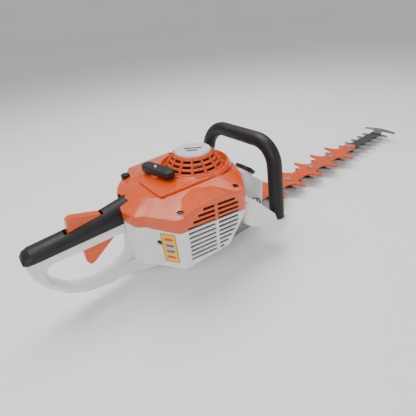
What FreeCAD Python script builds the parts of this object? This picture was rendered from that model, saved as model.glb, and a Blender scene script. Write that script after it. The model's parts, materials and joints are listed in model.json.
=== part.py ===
import FreeCAD, Part
import math
import os

# Petrol hedge trimmer.  Millimetres, +X towards the blade tip, +Y to the machine's left, +Z up.
# The origin lies on the crankshaft axis, in the plane of the flat skid plate that it rests on.

V = FreeCAD.Vector
UP = V(0, 0, 1)
LEFT = V(0, 1, 0)
AHEAD = V(1, 0, 0)

# ---------------------------------------------------------------- driving dimensions
# cutting set
BLADE_TIP_X = 685.0          # first tooth, counted back from here
TOOTH_PITCH = 33.8
TOOTH_COUNT = 16
TOOTH_REACH = 33.0           # tooth tip from the centre line
SPINE_HALF = 13.0            # half width of a blade between its teeth
BLADE_T = 2.0
BLADE_Z = 20.0               # underside of the upper blade
BLADE_GAP = 0.3
BLADE_TRAVEL = 8.0           # each way from the middle
BAR_T = 4.0
BAR_HALF = 13.0
COMB_T = 3.5
COMB_REACH = 45.5
COMB_REAR_X = 128.0
COMB_TEETH = 5
COMB_FRONT_PAST_TOOTH = 82.0
COMB_STAGGER = 13.0          # left teeth stand this much ahead of the right ones
BOLT_R = 4.0
BOLT_COUNT = 4
BOLT_PITCH = 88.0
TIP_GUARD_REACH = 24.0
TIP_GUARD_HALF = 44.0
# housings
WALL = 2.5
SEAM = 0.5                   # gap along a moulded seam
HOUSING_HALF = 108.0         # right side
HOUSING_LEFT = 100.0
HOUSING_REAR = 147.0
HOUSING_FRONT = 62.0
SIDE_BOTTOM_Z = 65.0
SILL_TOP_Z = 108.0
BELLY_Z = 30.0
PARTING_Z = 118.0            # parting plane height over the crank axis
PARTING_SLOPE = 0.118        # it falls this much per mm towards the front
CREASE_Z = 151.0
KNOB_X = -99.0
KNOB_Y = 58.0
TOP_Z = 160.0
RIDGE_RIGHT = 62.0           # where the side slopes meet the top
RIDGE_LEFT = 56.0
# starter
CONE_BASE_R = 54.0
CONE_TOP_R = 31.0
CONE_TOP_Z = 185.0
COLLAR_R = 57.5
BADGE_R = 29.4
COVER_T = 3.0
RIB_COUNT = 14
# rear handle
GRIP_HALF = 17.0
GRIP_SEAM_Z = 122.0
GRIP_REAR_X = -277.0
BAND_Z = 106.0               # top of the finger opening
LOOP_HALF = 11.0
LOOP_ROUND = 4.5
BAND_HALF = 15.0
KEEL_HALF = 34.0
LEVER_HALF = 7.0
LEVER_CLEAR = 0.4
LEVER_PIN_R = 2.0
TRIGGER_X = -152.0
TRIGGER_Z = 110.0
LOCKOUT_X = -172.0
LOCKOUT_Z = 134.0
# front handle
HANDLE_X = 105.0
HANDLE_Z = 183.7
HANDLE_HALF = 78.0
HANDLE_BEND_R = 56.0
HANDLE_SPLAY = 12.6          # degrees, each leg outwards
HANDLE_RAKE = 6.3            # degrees, legs leaning back
HANDLE_R = 12.5
HANDLE_CORE_R = 9.0
HANDLE_END_Z = 60.0
# tank
TANK_HALF = 60.0
TANK_FRONT = 128.0
TANK_FLOOR_Z = 62.0
TANK_TOP_Z = 146.0
CAP_R = 19.0
CAP_Y = -28.0
LABEL_WIDTH = 22.0
# engine
BORE_R = 17.0
THROW = 12.0
ROD = 46.0
CRANK_Z = 96.0
WEB_R = 20.0
WEB_T = 6.0
SHAFT_R = 6.0
CASE_INNER_R = 27.5
CASE_WALL = 5.5
FIN_HALF = 28.0
FIN_COUNT = 7
RUN_FIT = 0.05
FLYWHEEL_R = 48.0
DRUM_R = 30.0
# gears
MODULE = 1.5
PINION_TEETH = 10
GEAR_TEETH = 40
GEAR_Z = 31.0
GEAR_T = 6.0
ECCENTRIC_R = 11.0
GEARBOX_HALF = 38.0
SKID_T = 3.0
SKID_SCREW_R = 2.5
CLUTCH_HOUSING_R = 36.0

# ---------------------------------------------------------------- sizes that follow
UPPER_BLADE_Z = BLADE_Z
LOWER_BLADE_Z = BLADE_Z - BLADE_GAP - BLADE_T
BAR_Z = UPPER_BLADE_Z + BLADE_T + BLADE_GAP
COMB_Z = BAR_Z + BAR_T
GEAR_X = MODULE * (PINION_TEETH + GEAR_TEETH) / 2
YOKE_REACH_X = ECCENTRIC_R + 2 * BLADE_TRAVEL + 0.4
YOKE_REACH_Y = ECCENTRIC_R + BLADE_TRAVEL + 0.4
BLADE_REAR_X = GEAR_X + YOKE_REACH_X + 2
GEARBOX_REAR = -34.0
GEARBOX_TOP = 46.0
GEARBOX_FRONT = GEAR_X + MODULE * GEAR_TEETH / 2 + 26
COMB_FIRST_X = BLADE_TIP_X - TOOTH_PITCH * 6.5
COMB_FRONT_X = COMB_FIRST_X + COMB_FRONT_PAST_TOOTH
BOLT_FIRST_X = COMB_FRONT_X - 25
BAR_FRONT_X = BLADE_TIP_X + 12


# ---------------------------------------------------------------- small helpers
def cyl(radius, height, base, axis=UP):
    return Part.makeCylinder(radius, height, base, axis)


def ring(outer, inner, height, base, axis=UP):
    return cyl(outer, height, base, axis).cut(cyl(inner, height, base, axis))


def box(x0, x1, y0, y1, z0, z1):
    return Part.makeBox(x1 - x0, y1 - y0, z1 - z0, V(x0, y0, z0))


def corner_cut(before, corner, after, radius):
    """The tangent points and middle point of a rounded corner."""
    a = (before - corner).normalize()
    b = (after - corner).normalize()
    half = a.getAngle(b) / 2
    reach = min(radius / math.tan(half), 0.48 * (before - corner).Length, 0.48 * (after - corner).Length)
    bisector = (a + b).normalize()
    to_centre = reach / math.cos(half)
    middle = corner + bisector * (to_centre - reach * math.tan(half))
    return corner + a * reach, middle, corner + b * reach


def outline(points, radius):
    """A closed wire through 3-D points with every corner rounded."""
    edges = []
    count = len(points)
    cuts = [corner_cut(points[i - 1], points[i], points[(i + 1) % count], radius) for i in range(count)]
    for i in range(count):
        start, middle, end = cuts[i]
        edges.append(Part.Arc(start, middle, end).toShape())
        edges.append(Part.LineSegment(end, cuts[(i + 1) % count][0]).toShape())
    return Part.Wire(edges)


def polygon(points):
    return Part.makePolygon(points + points[:1])


def plan(points, z0, z1, radius=0.0):
    """An outline in plan, raised from z0 to z1."""
    spots = [V(x, y, z0) for x, y in points]
    wire = outline(spots, radius) if radius else polygon(spots)
    return Part.Face(wire).extrude(V(0, 0, z1 - z0))


def side(points, y0, y1, radius=0.0):
    """An outline seen from the side, drawn out from y0 to y1."""
    spots = [V(x, y0, z) for x, z in points]
    wire = outline(spots, radius) if radius else polygon(spots)
    return Part.Face(wire).extrude(V(0, y1 - y0, 0))


def mirrored(right_half):
    """Close a plan outline from its right-hand half, listed from rear to front."""
    return right_half + [(x, -y) for x, y in reversed(right_half)]


def inset(points, distance):
    """Move every side of an outline inwards; the points run anticlockwise seen from above."""
    moved = []
    count = len(points)
    for i in range(count):
        (x0, y0), (x1, y1), (x2, y2) = points[i - 1], points[i], points[(i + 1) % count]
        n1 = V(-(y1 - y0), x1 - x0, 0).normalize()
        n2 = V(-(y2 - y1), x2 - x1, 0).normalize()
        shift = (n1 + n2) * (distance / (1 + n1.dot(n2)))
        moved.append((x1 + shift.x, y1 + shift.y))
    return moved


def loft(low, z0, high, z1, radius):
    wires = [outline([V(x, y, z) for x, y in points], radius) for points, z in ((low, z0), (high, z1))]
    return Part.makeLoft(wires, True, True)


def join(shapes):
    whole = shapes[0].fuse(shapes[1:]) if len(shapes) > 1 else shapes[0]
    return whole.removeSplitter()


def turned(shape, degrees, centre=V(0, 0, 0), axis=UP):
    copy = shape.copy()
    copy.rotate(centre, axis, degrees)
    return copy


def both_sides(shape):
    return [shape, shape.mirror(V(0, 0, 0), LEFT)]


PARTS = {}


def keep(name, shape):
    PARTS[name] = shape


# ---------------------------------------------------------------- casings
def casing_outline():
    """Plan of both casings at the parting line, anticlockwise from the rear right."""
    rear, front, right, left = -HOUSING_REAR, HOUSING_FRONT, -HOUSING_HALF, HOUSING_LEFT
    return [
        (rear, 0.28 * right), (rear + 6, 0.52 * right), (rear + 17, 0.58 * right),
        (rear + 23, 0.68 * right),
        (rear + 44, right + 3), (front - 50, right), (front - 17, 0.57 * right), (front, 0.26 * right),
        (front, 0.28 * left), (front - 17, 0.62 * left), (front - 50, left), (rear + 70, left - 5),
        (rear + 57, 0.76 * left), (rear + 40, 0.60 * left), (rear + 27, 0.44 * left),
        (rear + 16, 0.22 * left),
    ]


def sill_outline():
    """Plan of the lower casing at the foot of its walls, where its front is cut back."""
    spots = casing_outline()
    pull_back = {4: 0, 5: 32, 6: 18, 7: 14, 8: 14, 9: 18, 10: 32, 11: 0}
    return [(x - pull_back.get(i, 0), y * 0.985) for i, (x, y) in enumerate(spots)]


def top_outline():
    """Plan of the flat top, point for point with the parting line."""
    rear, front, right, left = -HOUSING_REAR + 33, HOUSING_FRONT - 26, -RIDGE_RIGHT, RIDGE_LEFT
    return [
        (rear, 0.36 * right), (rear + 2, 0.50 * right), (rear + 6, 0.62 * right), (rear + 13, 0.75 * right),
        (rear + 30, right + 3), (front - 34, right), (front - 10, 0.66 * right), (front, 0.30 * right),
        (front, 0.34 * left), (front - 14, 0.78 * left), (front - 40, left), (rear + 50, 0.94 * left),
        (rear + 30, 0.76 * left), (rear + 17, 0.60 * left), (rear + 9, 0.44 * left),
        (rear + 3, 0.24 * left),
    ]


def belly_outline():
    """Plan of the underside, point for point with the parting line."""
    rear, front, right, left = -HOUSING_REAR + 38, HOUSING_FRONT - 12, -50.0, 50.0
    return [
        (rear, 0.40 * right), (rear + 1, 0.56 * right), (rear + 4, 0.72 * right), (rear + 10, 0.86 * right),
        (rear + 26, right), (front - 32, right), (front - 10, 0.76 * right), (front, 0.44 * right),
        (front, 0.44 * left), (front - 10, 0.76 * left), (front - 32, left), (rear + 26, left),
        (rear + 10, 0.86 * left), (rear + 4, 0.72 * left), (rear + 1, 0.56 * left), (rear, 0.40 * left),
    ]


def parting_z(x):
    return PARTING_Z - PARTING_SLOPE * x


def above_parting(offset):
    """Everything above the sloping parting plane, for cutting."""
    rear, front = -HOUSING_REAR - 60, HOUSING_FRONT + 60
    points = [(rear, parting_z(rear) + offset), (front, parting_z(front) + offset), (front, 400),
              (rear, 400)]
    return side(points, -300, 300)


def below_parting(offset):
    rear, front = -HOUSING_REAR - 60, HOUSING_FRONT + 60
    points = [(rear, parting_z(rear) + offset), (front, parting_z(front) + offset), (front, -100),
              (rear, -100)]
    return side(points, -300, 300)


def grille_slots():
    """Slots through the right wall: rows parallel to the parting line, parted by one upright."""
    slots = []
    pitch, height, rows = 7.7, 4.2, 11
    reach = HOUSING_HALF + 5
    for row in range(rows):
        z = SIDE_BOTTOM_Z + 3.5 + row * pitch
        left = -91 + max(0, row - 7) * 9
        right = -2 - 38 * (1 - min(1.0, (row + 1) / 6.0)) ** 1.5 - max(0, row - 9) * 6
        for x0, x1 in ((left, -45), (-40, right)):
            if x1 - x0 > 6:
                slot = box(x0, x1, -reach, 19 - reach, z, z + height)
                slots.append(turned(slot, math.degrees(math.atan(PARTING_SLOPE)), V(-40, 0, z), LEFT))
    return slots


def exhaust_slots():
    """A plainer grille in the left wall."""
    return [box(-78 + 12 * i, -72 + 12 * i, HOUSING_LEFT - 12, HOUSING_LEFT + 5, 80, 106) for i in range(7)]


def grip_envelope(clear):
    """The space that the rear grip and its band take where they enter the casings, open behind."""
    sections = [(x, top + clear, GRIP_HALF + clear) for x, top in ((-171, 146), (-129, 154), (-117, 156.3))]
    arch = Part.makeLoft([grip_section(*s) for s in sections], True, True)
    half = GRIP_HALF + clear
    notch = side([(-170, GRIP_SEAM_Z), (-127, GRIP_SEAM_Z), (-131, TOP_Z + 20), (-170, TOP_Z + 20)],
                 -half, half)
    return arch.fuse([box(-170, -117, -half, half, BAND_Z - 3, GRIP_SEAM_Z + 1), notch])


def screw_spots():
    """Head centre and outward direction of each casing screw."""
    slope = math.atan2(HOUSING_HALF - RIDGE_RIGHT, TOP_Z - CREASE_Z)
    out = V(0, -math.cos(slope), math.sin(slope))
    left_slope = math.atan2(HOUSING_LEFT - RIDGE_LEFT, TOP_Z - CREASE_Z)
    left_out = V(0, math.cos(left_slope), math.sin(left_slope))
    (x0, y0), (x1, y1) = casing_outline()[3:5]
    along = V(x1 - x0, y1 - y0, 0).normalize()
    face = V(along.y, -along.x, 0)
    on_face = V(x0, y0, 0) + along * 4.5
    down = (TOP_Z - CREASE_Z) / (HOUSING_HALF - RIDGE_RIGHT)
    left_down = (TOP_Z - CREASE_Z) / (HOUSING_LEFT - RIDGE_LEFT)
    in_by = 14.0
    return [
        (V(-92, -HOUSING_HALF + in_by, CREASE_Z + in_by * down - 1), out),
        (V(6, -HOUSING_HALF + in_by, CREASE_Z + in_by * down - 1), out),
        (V(6, HOUSING_LEFT - in_by, CREASE_Z + in_by * left_down - 1), left_out),
        (V(on_face.x, on_face.y, 110) - face * 1.0, face),
    ]


def screw_recesses(radius):
    return [cyl(radius, 14, spot - way * 5, way) for spot, way in screw_spots()]


def lower_housing():
    shape = casing_outline()
    belly = belly_outline()
    sill = sill_outline()
    outer = join([
        plan(shape, SILL_TOP_Z, 145, 9),
        loft(sill, SIDE_BOTTOM_Z, shape, SILL_TOP_Z, 9),
        loft(belly, BELLY_Z, sill, SIDE_BOTTOM_Z, 9),
    ])
    thin = inset(shape, WALL)
    thin_sill = inset(sill, WALL)
    hollow = join([
        plan(thin, SILL_TOP_Z, 146, 7),
        loft(thin_sill, SIDE_BOTTOM_Z, thin, SILL_TOP_Z, 7),
        loft(inset(belly, WALL), BELLY_Z + WALL, thin_sill, SIDE_BOTTOM_Z, 7),
    ])
    body = outer.cut(hollow).cut(above_parting(-SEAM / 2))
    cuts = grille_slots() + exhaust_slots() + [grip_envelope(0.3), loop_solid()]
    cuts.append(box(GEARBOX_REAR - 0.5, 200, -GEARBOX_HALF - 0.5, GEARBOX_HALF + 0.5, 0, GEARBOX_TOP + 0.5))
    cuts.append(cyl(CLUTCH_HOUSING_R + 0.5, 40, V(0, 0, 20)))
    return body.cut(cuts + screw_recesses(4.6)[3:])


def brow(distance):
    """The raised shelf that arches over the grille, out to the right wall."""
    arch = [(-98, 132), (12, 132), (12, 147), (-20, 157), (-49, 159.6), (-75, 157.5), (-91, 153),
            (-98, 149)]
    plan_view = casing_outline()
    if distance:
        arch, plan_view = inset(arch, distance), inset(plan_view, distance)
    return side(arch, -HOUSING_HALF - 1, -RIDGE_RIGHT + 10).common(plan(plan_view, 95, 200,
            9 - 0.8 * distance))


def shroud_solid(distance, top):
    low, high = casing_outline(), top_outline()
    if distance:
        low, high = inset(low, distance), inset(high, distance)
    corner = 9 - 0.8 * distance
    return join([plan(low, 95, CREASE_Z, corner), loft(low, CREASE_Z, high, top, corner), brow(distance)])


def filter_region(clear):
    """The part of the left rear of the shroud that lifts off over the air filter."""
    half = clear / 2
    return plan([(-170, 30 - half), (-62 + half, 30 - half), (-62 + half, 150), (-170, 150)],
                CREASE_Z - 14 - half, 250)


def knob_shank():
    return cyl(3.0, 18, V(KNOB_X, KNOB_Y, CREASE_Z - 17))


def knob_head(clear):
    """The head of the knob that holds the filter cover, sunk a little into the slope."""
    head = cyl(7.0 + clear, 7, V(KNOB_X, KNOB_Y, CREASE_Z + 1))
    if clear:
        return head.fuse(cyl(7.0 + clear, 30, V(KNOB_X, KNOB_Y, CREASE_Z + 1)))
    flutes = [turned(cyl(1.6, 9, V(KNOB_X + 7.4, KNOB_Y, CREASE_Z)), 60 * i,
                     V(KNOB_X, KNOB_Y, 0)) for i in range(6)]
    return head.cut(flutes)


def whole_shroud():
    outer = shroud_solid(0.0, TOP_Z)
    inner = shroud_solid(WALL, TOP_Z - WALL)
    body = outer.cut(inner).cut(below_parting(SEAM / 2))
    body = body.cut([cyl(CONE_BASE_R + 0.5, 80, V(0, 0, 120)), grip_envelope(0.3),
                     rope_hole()] + grille_slots())
    return body.cut(screw_recesses(4.6)[:3])


def starter_outline():
    rear, right, left = -HOUSING_REAR + 50, -RIDGE_RIGHT + 3, RIDGE_LEFT - 6
    return [(rear, right + 4), (-4, right - 1), (18, right + 6), (HOUSING_FRONT - 22, -30),
            (HOUSING_FRONT - 22, 22), (18, left), (-24, left), (-62, 44), (rear + 14, 26), (rear, 10)]


def rope_hole():
    return cyl(ROPE_R + 2.5, 40, V(ROPE_X, ROPE_Y, TOP_Z - 12))


def starter_cover():
    """Raised deck, collar and louvred cone over the fan."""
    deck_top = TOP_Z + COVER_T
    deck = plan(starter_outline(), TOP_Z, deck_top, 6)
    collar = Part.makeCone(COLLAR_R + 4, COLLAR_R, COVER_T + 3, V(0, 0, TOP_Z))
    eyelet = Part.makeCone(11, 8, 4, V(ROPE_X, ROPE_Y, deck_top - 1))
    base = join([deck, collar, eyelet])
    cone_low = TOP_Z - 2
    well = cyl(COLLAR_R - 2.5, 20, V(0, 0, TOP_Z + 0.6))
    rise = CONE_TOP_Z - cone_low
    outer = Part.makeCone(CONE_BASE_R, CONE_TOP_R, rise, V(0, 0, cone_low))
    inner = Part.makeCone(CONE_BASE_R - WALL - 1, CONE_TOP_R - WALL, rise, V(0, 0, cone_low))
    lid = cyl(CONE_TOP_R - 1, WALL, V(0, 0, CONE_TOP_Z - WALL))
    rib_outline = [(CONE_BASE_R - 0.3, cone_low + 2.6), (CONE_TOP_R + 1.4, CONE_TOP_Z),
                   (CONE_TOP_R - 2, CONE_TOP_Z),
                   (CONE_BASE_R - 5, cone_low + 2.6)]
    ribs = [turned(side(rib_outline, -1.3, 1.3), 360.0 / RIB_COUNT * i) for i in range(RIB_COUNT)]
    shell = base.cut([cyl(CONE_BASE_R - 3, 20, V(0, 0, TOP_Z - 1)), well])
    shell = shell.fuse([outer.cut(inner), lid] + ribs)
    slots = []
    sweep = 360.0 / RIB_COUNT - 6.0
    for i in range(RIB_COUNT):
        for row in range(3):
            z = cone_low + 7.0 + row * 6.2
            wedge = Part.makeCylinder(CONE_BASE_R + 1, 3.4, V(0, 0, z), UP, sweep)
            wedge = wedge.cut(cyl(CONE_TOP_R - 6, 3.4, V(0, 0, z)))
            slots.append(turned(wedge, 360.0 / RIB_COUNT * i + 3.0))
    return shell.cut(slots + [rope_hole(), cyl(4.1, 30, V(0, 0, CONE_TOP_Z - 20))])


# ---------------------------------------------------------------- rear handle
def loop_solid():
    """Side view: a rounded loop whose lower bar widens into a keel under the engine."""
    rear = GRIP_REAR_X
    opening = [(rear + 18, BAND_Z - 2), (-206, BAND_Z + 1), (-150, BAND_Z), (-142, 88), (-150, 58),
               (-172, 46), (-208, 41), (-238, 52), (-259, 78)]
    outer = [(rear, GRIP_SEAM_Z), (rear + 2, 96), (rear + 10, 72), (rear + 30, 46), (rear + 52, 31),
             (-190, 24),
             (-150, 22), (-124, 24), (-124, GRIP_SEAM_Z)]
    hoop = side(outer, -LOOP_HALF, LOOP_HALF, 20).cut(side(opening, -60, 60, 14))
    flat = [e for e in hoop.Edges if e.BoundBox.YLength < 0.01 and e.BoundBox.XMax < -125.5]
    hoop = hoop.makeFillet(LOOP_ROUND, flat)
    band = side([(rear + 6, GRIP_SEAM_Z), (rear + 10, BAND_Z + 7), (rear + 22, BAND_Z + 4),
                 (-206, BAND_Z + 2),
                 (-119, BAND_Z + 1), (-119, GRIP_SEAM_Z)], -BAND_HALF, BAND_HALF)
    keel = side([(-186, 28), (-150, 23), (-110, 18), (-84, 0), (GEARBOX_REAR - 1, 0),
                 (GEARBOX_REAR - 1, BELLY_Z - 0.3), (-104, BELLY_Z - 0.3), (-130, 52), (-150, 50), (-172,
            44)], -60, 60)
    width = plan([(-190, -LOOP_HALF + 1), (-150, -LOOP_HALF - 4), (-100, -0.7 * KEEL_HALF),
                  (-70, -KEEL_HALF),
                  (0, -KEEL_HALF), (0, KEEL_HALF), (-70, KEEL_HALF), (-100, 0.7 * KEEL_HALF),
                  (-150, LOOP_HALF + 4), (-190, LOOP_HALF - 1)], -5, 200, 20)
    return join([hoop, band, keel.common(width).cut(side(opening, -60, 60, 14))])


def loop_frame():
    lightening = [box(-78, GEARBOX_REAR - 8, sign * 17 - 12, sign * 17 + 12, 4, 100) for sign in (-1, 1)]
    return loop_solid().cut([lever_slot(), grip_cavity(), cable_path(2.6)] + lightening + lever_bores())


def lever_slot():
    half = LEVER_HALF + LEVER_CLEAR
    return box(-222, TRIGGER_X + 9, -half, half, BAND_Z - 14, 170)


def grip_cavity():
    return box(GRIP_REAR_X + 16, -128, -9, 9, BAND_Z + 7, GRIP_SEAM_Z + 9)


def grip_section(x, top, half):
    low = V(x, -half, GRIP_SEAM_Z)
    shoulder_z = GRIP_SEAM_Z + 0.45 * (top - GRIP_SEAM_Z)
    right = V(x, -half, shoulder_z)
    left = V(x, half, shoulder_z)
    arch = Part.Arc(right, V(x, 0, top), left).toShape()
    return Part.Wire([Part.LineSegment(low, right).toShape(), arch,
                      Part.LineSegment(left, V(x, half, GRIP_SEAM_Z)).toShape(),
                      Part.LineSegment(V(x, half, GRIP_SEAM_Z), low).toShape()])


def rear_grip():
    rear = GRIP_REAR_X
    stations = [(rear, 129, GRIP_HALF - 5), (rear + 4, 134, GRIP_HALF - 2), (rear + 12, 137, GRIP_HALF),
                (-216, 140, GRIP_HALF), (-171, 146, GRIP_HALF), (-129, 154, GRIP_HALF),
                (-118, 156, GRIP_HALF)]
    body = Part.makeLoft([grip_section(*s) for s in stations], True, True)
    slot = box(-220, LOCKOUT_X + 7, -LEVER_HALF - LEVER_CLEAR, LEVER_HALF + LEVER_CLEAR, GRIP_SEAM_Z - 1,
               170)
    lower_slot = lever_slot().common(box(-300, 0, -20, 20, 0, GRIP_SEAM_Z + 9))
    return body.cut([slot, grip_cavity(), lower_slot] + lever_bores())


def lever_bores():
    length = 2 * (GRIP_HALF - 4)
    return [cyl(LEVER_PIN_R, length, V(x, -length / 2, z), LEFT)
            for x, z in ((TRIGGER_X, TRIGGER_Z), (LOCKOUT_X, LOCKOUT_Z))]


def trigger():
    body = side([(-206, 104), (-208, 82), (-204, 74), (-198, 75), (-158, 103),
                 (TRIGGER_X + 5, TRIGGER_Z - 4),
                 (TRIGGER_X + 5, TRIGGER_Z + 4), (-204, TRIGGER_Z)], -LEVER_HALF + 0.2, LEVER_HALF - 0.2,
                 2.5)
    return body.cut(cyl(LEVER_PIN_R + RUN_FIT, 40, V(TRIGGER_X, -20, TRIGGER_Z), LEFT))


def lockout():
    body = side([(-217, 134), (-212, 154), (-206, 157), (-168, 146), (LOCKOUT_X + 5, 141),
                 (LOCKOUT_X + 5, 129),
                 (-216, 131)], -LEVER_HALF + 0.2, LEVER_HALF - 0.2, 2.0)
    return body.cut(cyl(LEVER_PIN_R + RUN_FIT, 40, V(LOCKOUT_X, -20, LOCKOUT_Z), LEFT))


# ---------------------------------------------------------------- front handle, bracket and tank
def across(point):
    return V(point.x, -point.y, point.z)


def handle_path(lower_z):
    """Centre line of the bent tube: two splayed legs and a level crossbar."""
    splay = math.radians(HANDLE_SPLAY)
    drop = HANDLE_Z - lower_z
    foot_y = HANDLE_HALF + drop * math.tan(splay)
    corner = V(HANDLE_X, -HANDLE_HALF, HANDLE_Z)
    foot = V(HANDLE_X, -foot_y, lower_z)
    start, middle, end = corner_cut(foot, corner, V(HANDLE_X, 0, HANDLE_Z), HANDLE_BEND_R)
    wire = Part.Wire([
        Part.LineSegment(foot, start).toShape(),
        Part.Arc(start, middle, end).toShape(),
        Part.LineSegment(end, across(end)).toShape(),
        Part.Arc(across(end), across(middle), across(start)).toShape(),
        Part.LineSegment(across(start), across(foot)).toShape(),
    ])
    return wire, foot, (start - foot).normalize()


def lean(shape):
    return turned(shape, HANDLE_RAKE, V(HANDLE_X, 0, HANDLE_Z), LEFT)


def handle_tube(radius, lower_z):
    wire, foot, way = handle_path(lower_z)
    circle = Part.Wire(Part.Circle(foot, way, radius).toShape())
    return wire.makePipeShell([circle], True, False)


def handle_foot():
    """Where the right leg's centre line ends, after leaning."""
    return lean(Part.Vertex(handle_path(HANDLE_END_Z)[1])).Point


def arm_outline(foot):
    """Plan of the right arm, from the casing out to the handle's foot."""
    reach = HANDLE_R + 2.5
    return [(HOUSING_FRONT - 46, -HOUSING_HALF + 4), (HOUSING_FRONT - 20, -TANK_HALF - 2.5),
            (foot.x - 8, -TANK_HALF - 18), (foot.x + reach, foot.y + reach + 4),
            (foot.x + reach, foot.y - reach), (foot.x - reach, foot.y - reach),
            (foot.x - reach - 24, foot.y - 2)]


def front_bracket():
    """Two arms that carry the handle feet, joined by a beam under the tank."""
    foot = handle_foot()
    top = foot.z + 1
    profile = side([
        (HOUSING_FRONT - 48, 124), (HOUSING_FRONT - 18, 112), (foot.x - 21, top + 22), (foot.x - 14, top),
        (foot.x + 18, top), (foot.x + 18, top - 13), (foot.x + 10, top - 20), (foot.x - 6, top - 20),
        (foot.x - 30, top - 13), (HOUSING_FRONT - 24, top + 6), (HOUSING_FRONT - 48, top + 20),
    ], -200, 0, 6)
    arm = plan(arm_outline(foot), 0, 200, 9).common(profile)
    web = box(foot.x - 20, foot.x + 8, foot.y + 8, -TANK_HALF - 2, top - 14, top - 2)
    beam = box(foot.x - 20, foot.x + 8, -TANK_HALF - 3, TANK_HALF + 3, GEARBOX_TOP, TANK_FLOOR_Z - 0.5)
    whole = join(both_sides(arm) + both_sides(web) + [beam])
    tube = lean(handle_tube(HANDLE_CORE_R, HANDLE_END_Z - 12))
    grip = lean(handle_tube(HANDLE_R, HANDLE_END_Z))
    casing = plan(casing_outline(), 20, 200, 9)
    seat = bracket_screw()
    drilled = both_sides(cyl(3.0, 30, seat - SCREW_WAY * 22, SCREW_WAY)) + both_sides(cyl(9.5, 40, seat,
            SCREW_WAY))
    return whole.cut([tube, grip, casing] + drilled)


SCREW_WAY = V(0.35, -0.60, 0.72).normalize()


def bracket_screw():
    """Seat of the right bracket screw, beside the tank."""
    foot = handle_foot()
    return V(foot.x - 36, -TANK_HALF - 29, foot.z + 39)


def bracket_screws():
    seat = bracket_screw()
    shank = cyl(3.0, 22, seat - SCREW_WAY * 20, SCREW_WAY)
    washer = ring(9.2, 3.0, 1.4, seat, SCREW_WAY)
    head = cyl(6.2, 4.6, seat + SCREW_WAY * 1.4,
               SCREW_WAY).cut(cyl(2.4, 3, seat + SCREW_WAY * 4.0, SCREW_WAY))
    return Part.makeCompound(both_sides(shank.fuse(head)) + both_sides(washer))


def tank_profile(gap):
    return [(30 + gap, TANK_FLOOR_Z + gap), (TANK_FRONT - 10, TANK_FLOOR_Z + gap),
            (TANK_FRONT - gap, TANK_FLOOR_Z + 10), (TANK_FRONT - gap, TANK_FLOOR_Z + 28),
            (TANK_FRONT - 66, TANK_TOP_Z - 4 - 1.5 * gap), (TANK_FRONT - 76, TANK_TOP_Z - gap),
            (30 + gap, TANK_TOP_Z - gap)]


def tank_plan(gap):
    return mirrored([
        (HOUSING_FRONT + 1.5 + gap, -0.26 * HOUSING_HALF + 3),
        (HOUSING_FRONT - 15.3 + gap, -TANK_HALF + gap),
        (TANK_FRONT - 26, -TANK_HALF + gap),
        (TANK_FRONT - gap, -TANK_HALF + 22),
    ])


CAP_SLOPE = math.atan2(TANK_TOP_Z - 4 - (TANK_FLOOR_Z + 28), 66)
CAP_AXIS = V(math.sin(CAP_SLOPE), 0, math.cos(CAP_SLOPE))
CAP_X = TANK_FRONT - 42.0
CAP_SEAT = V(CAP_X, CAP_Y, TANK_TOP_Z - 4 - (CAP_X - TANK_FRONT + 66) * math.tan(CAP_SLOPE))


def beyond_casing(gap):
    """The casings' plan, grown by a gap, for trimming what stands in front of them."""
    return plan(inset(casing_outline(), -gap), 0, 300, 9 + gap)


def fuel_tank():
    outer = side(tank_profile(0), -200, 200, 13).common(plan(tank_plan(0), 0, 300, 13))
    inner = side(tank_profile(WALL), -200, 200, 11).common(plan(tank_plan(WALL), 0, 300, 11))
    outer = outer.cut(beyond_casing(SEAM))
    inner = inner.cut(beyond_casing(SEAM + WALL))
    neck = cyl(17, 12, CAP_SEAT - CAP_AXIS * 8, CAP_AXIS)
    mouth = cyl(13, 40, CAP_SEAT - CAP_AXIS * 20, CAP_AXIS)
    return outer.fuse(neck).cut([inner, mouth])


def fuel_cap():
    lid = cyl(CAP_R, 6.0, CAP_SEAT + CAP_AXIS * 4.8, CAP_AXIS)
    plug = cyl(12.5, 10, CAP_SEAT - CAP_AXIS * 3, CAP_AXIS)
    grips = []
    for i in range(18):
        notch = cyl(1.4, 16, CAP_SEAT + V(0, CAP_R + 0.3, 0), CAP_AXIS)
        grips.append(turned(notch, 20 * i, CAP_SEAT, CAP_AXIS))
    ridge = box(-2.5, 2.5, -14, 14, 0, 1.6)
    ridge.Placement = FreeCAD.Placement(CAP_SEAT + CAP_AXIS * 10.7, FreeCAD.Rotation(UP, CAP_AXIS))
    return join([lid, plug]).cut(grips).fuse(ridge)


# ---------------------------------------------------------------- starter and engine
ROPE_X = -66.0
ROPE_Y = 8.0
PULL_GRIP_Z = TOP_Z + COVER_T + 3.3


def pull_grip():
    """A T grip lying across the deck, with a recess for the knot."""
    half_length, half_width, height, offset = 33.0, 10.0, 11.5, -4.0
    shape = [(-half_width, offset - half_length), (half_width, offset - half_length),
             (half_width, offset + half_length), (-half_width, offset + half_length)]
    body = plan(shape, 0, height, 9.5)
    rim = [e for e in body.Edges if e.BoundBox.ZLength < 0.01]
    body = body.makeFillet(3.0, rim)
    body = body.cut([cyl(5.0, 6, V(0, 0, height - 4)), cyl(ROPE_R, 40, V(0, 0, -10))])
    body.rotate(V(0, 0, 0), UP, 12)
    body.translate(V(ROPE_X, ROPE_Y, PULL_GRIP_Z))
    return body


ROPE_R = 1.75


def pull_rope():
    low = TOP_Z - 14
    rope = cyl(ROPE_R, PULL_GRIP_Z + 9 - low, V(ROPE_X, ROPE_Y, low))
    knot = Part.makeSphere(3.0, V(ROPE_X, ROPE_Y, PULL_GRIP_Z + 10.5))
    return rope.fuse(knot)


REEL_Z = 152.0
REEL_R = 34.0


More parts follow.
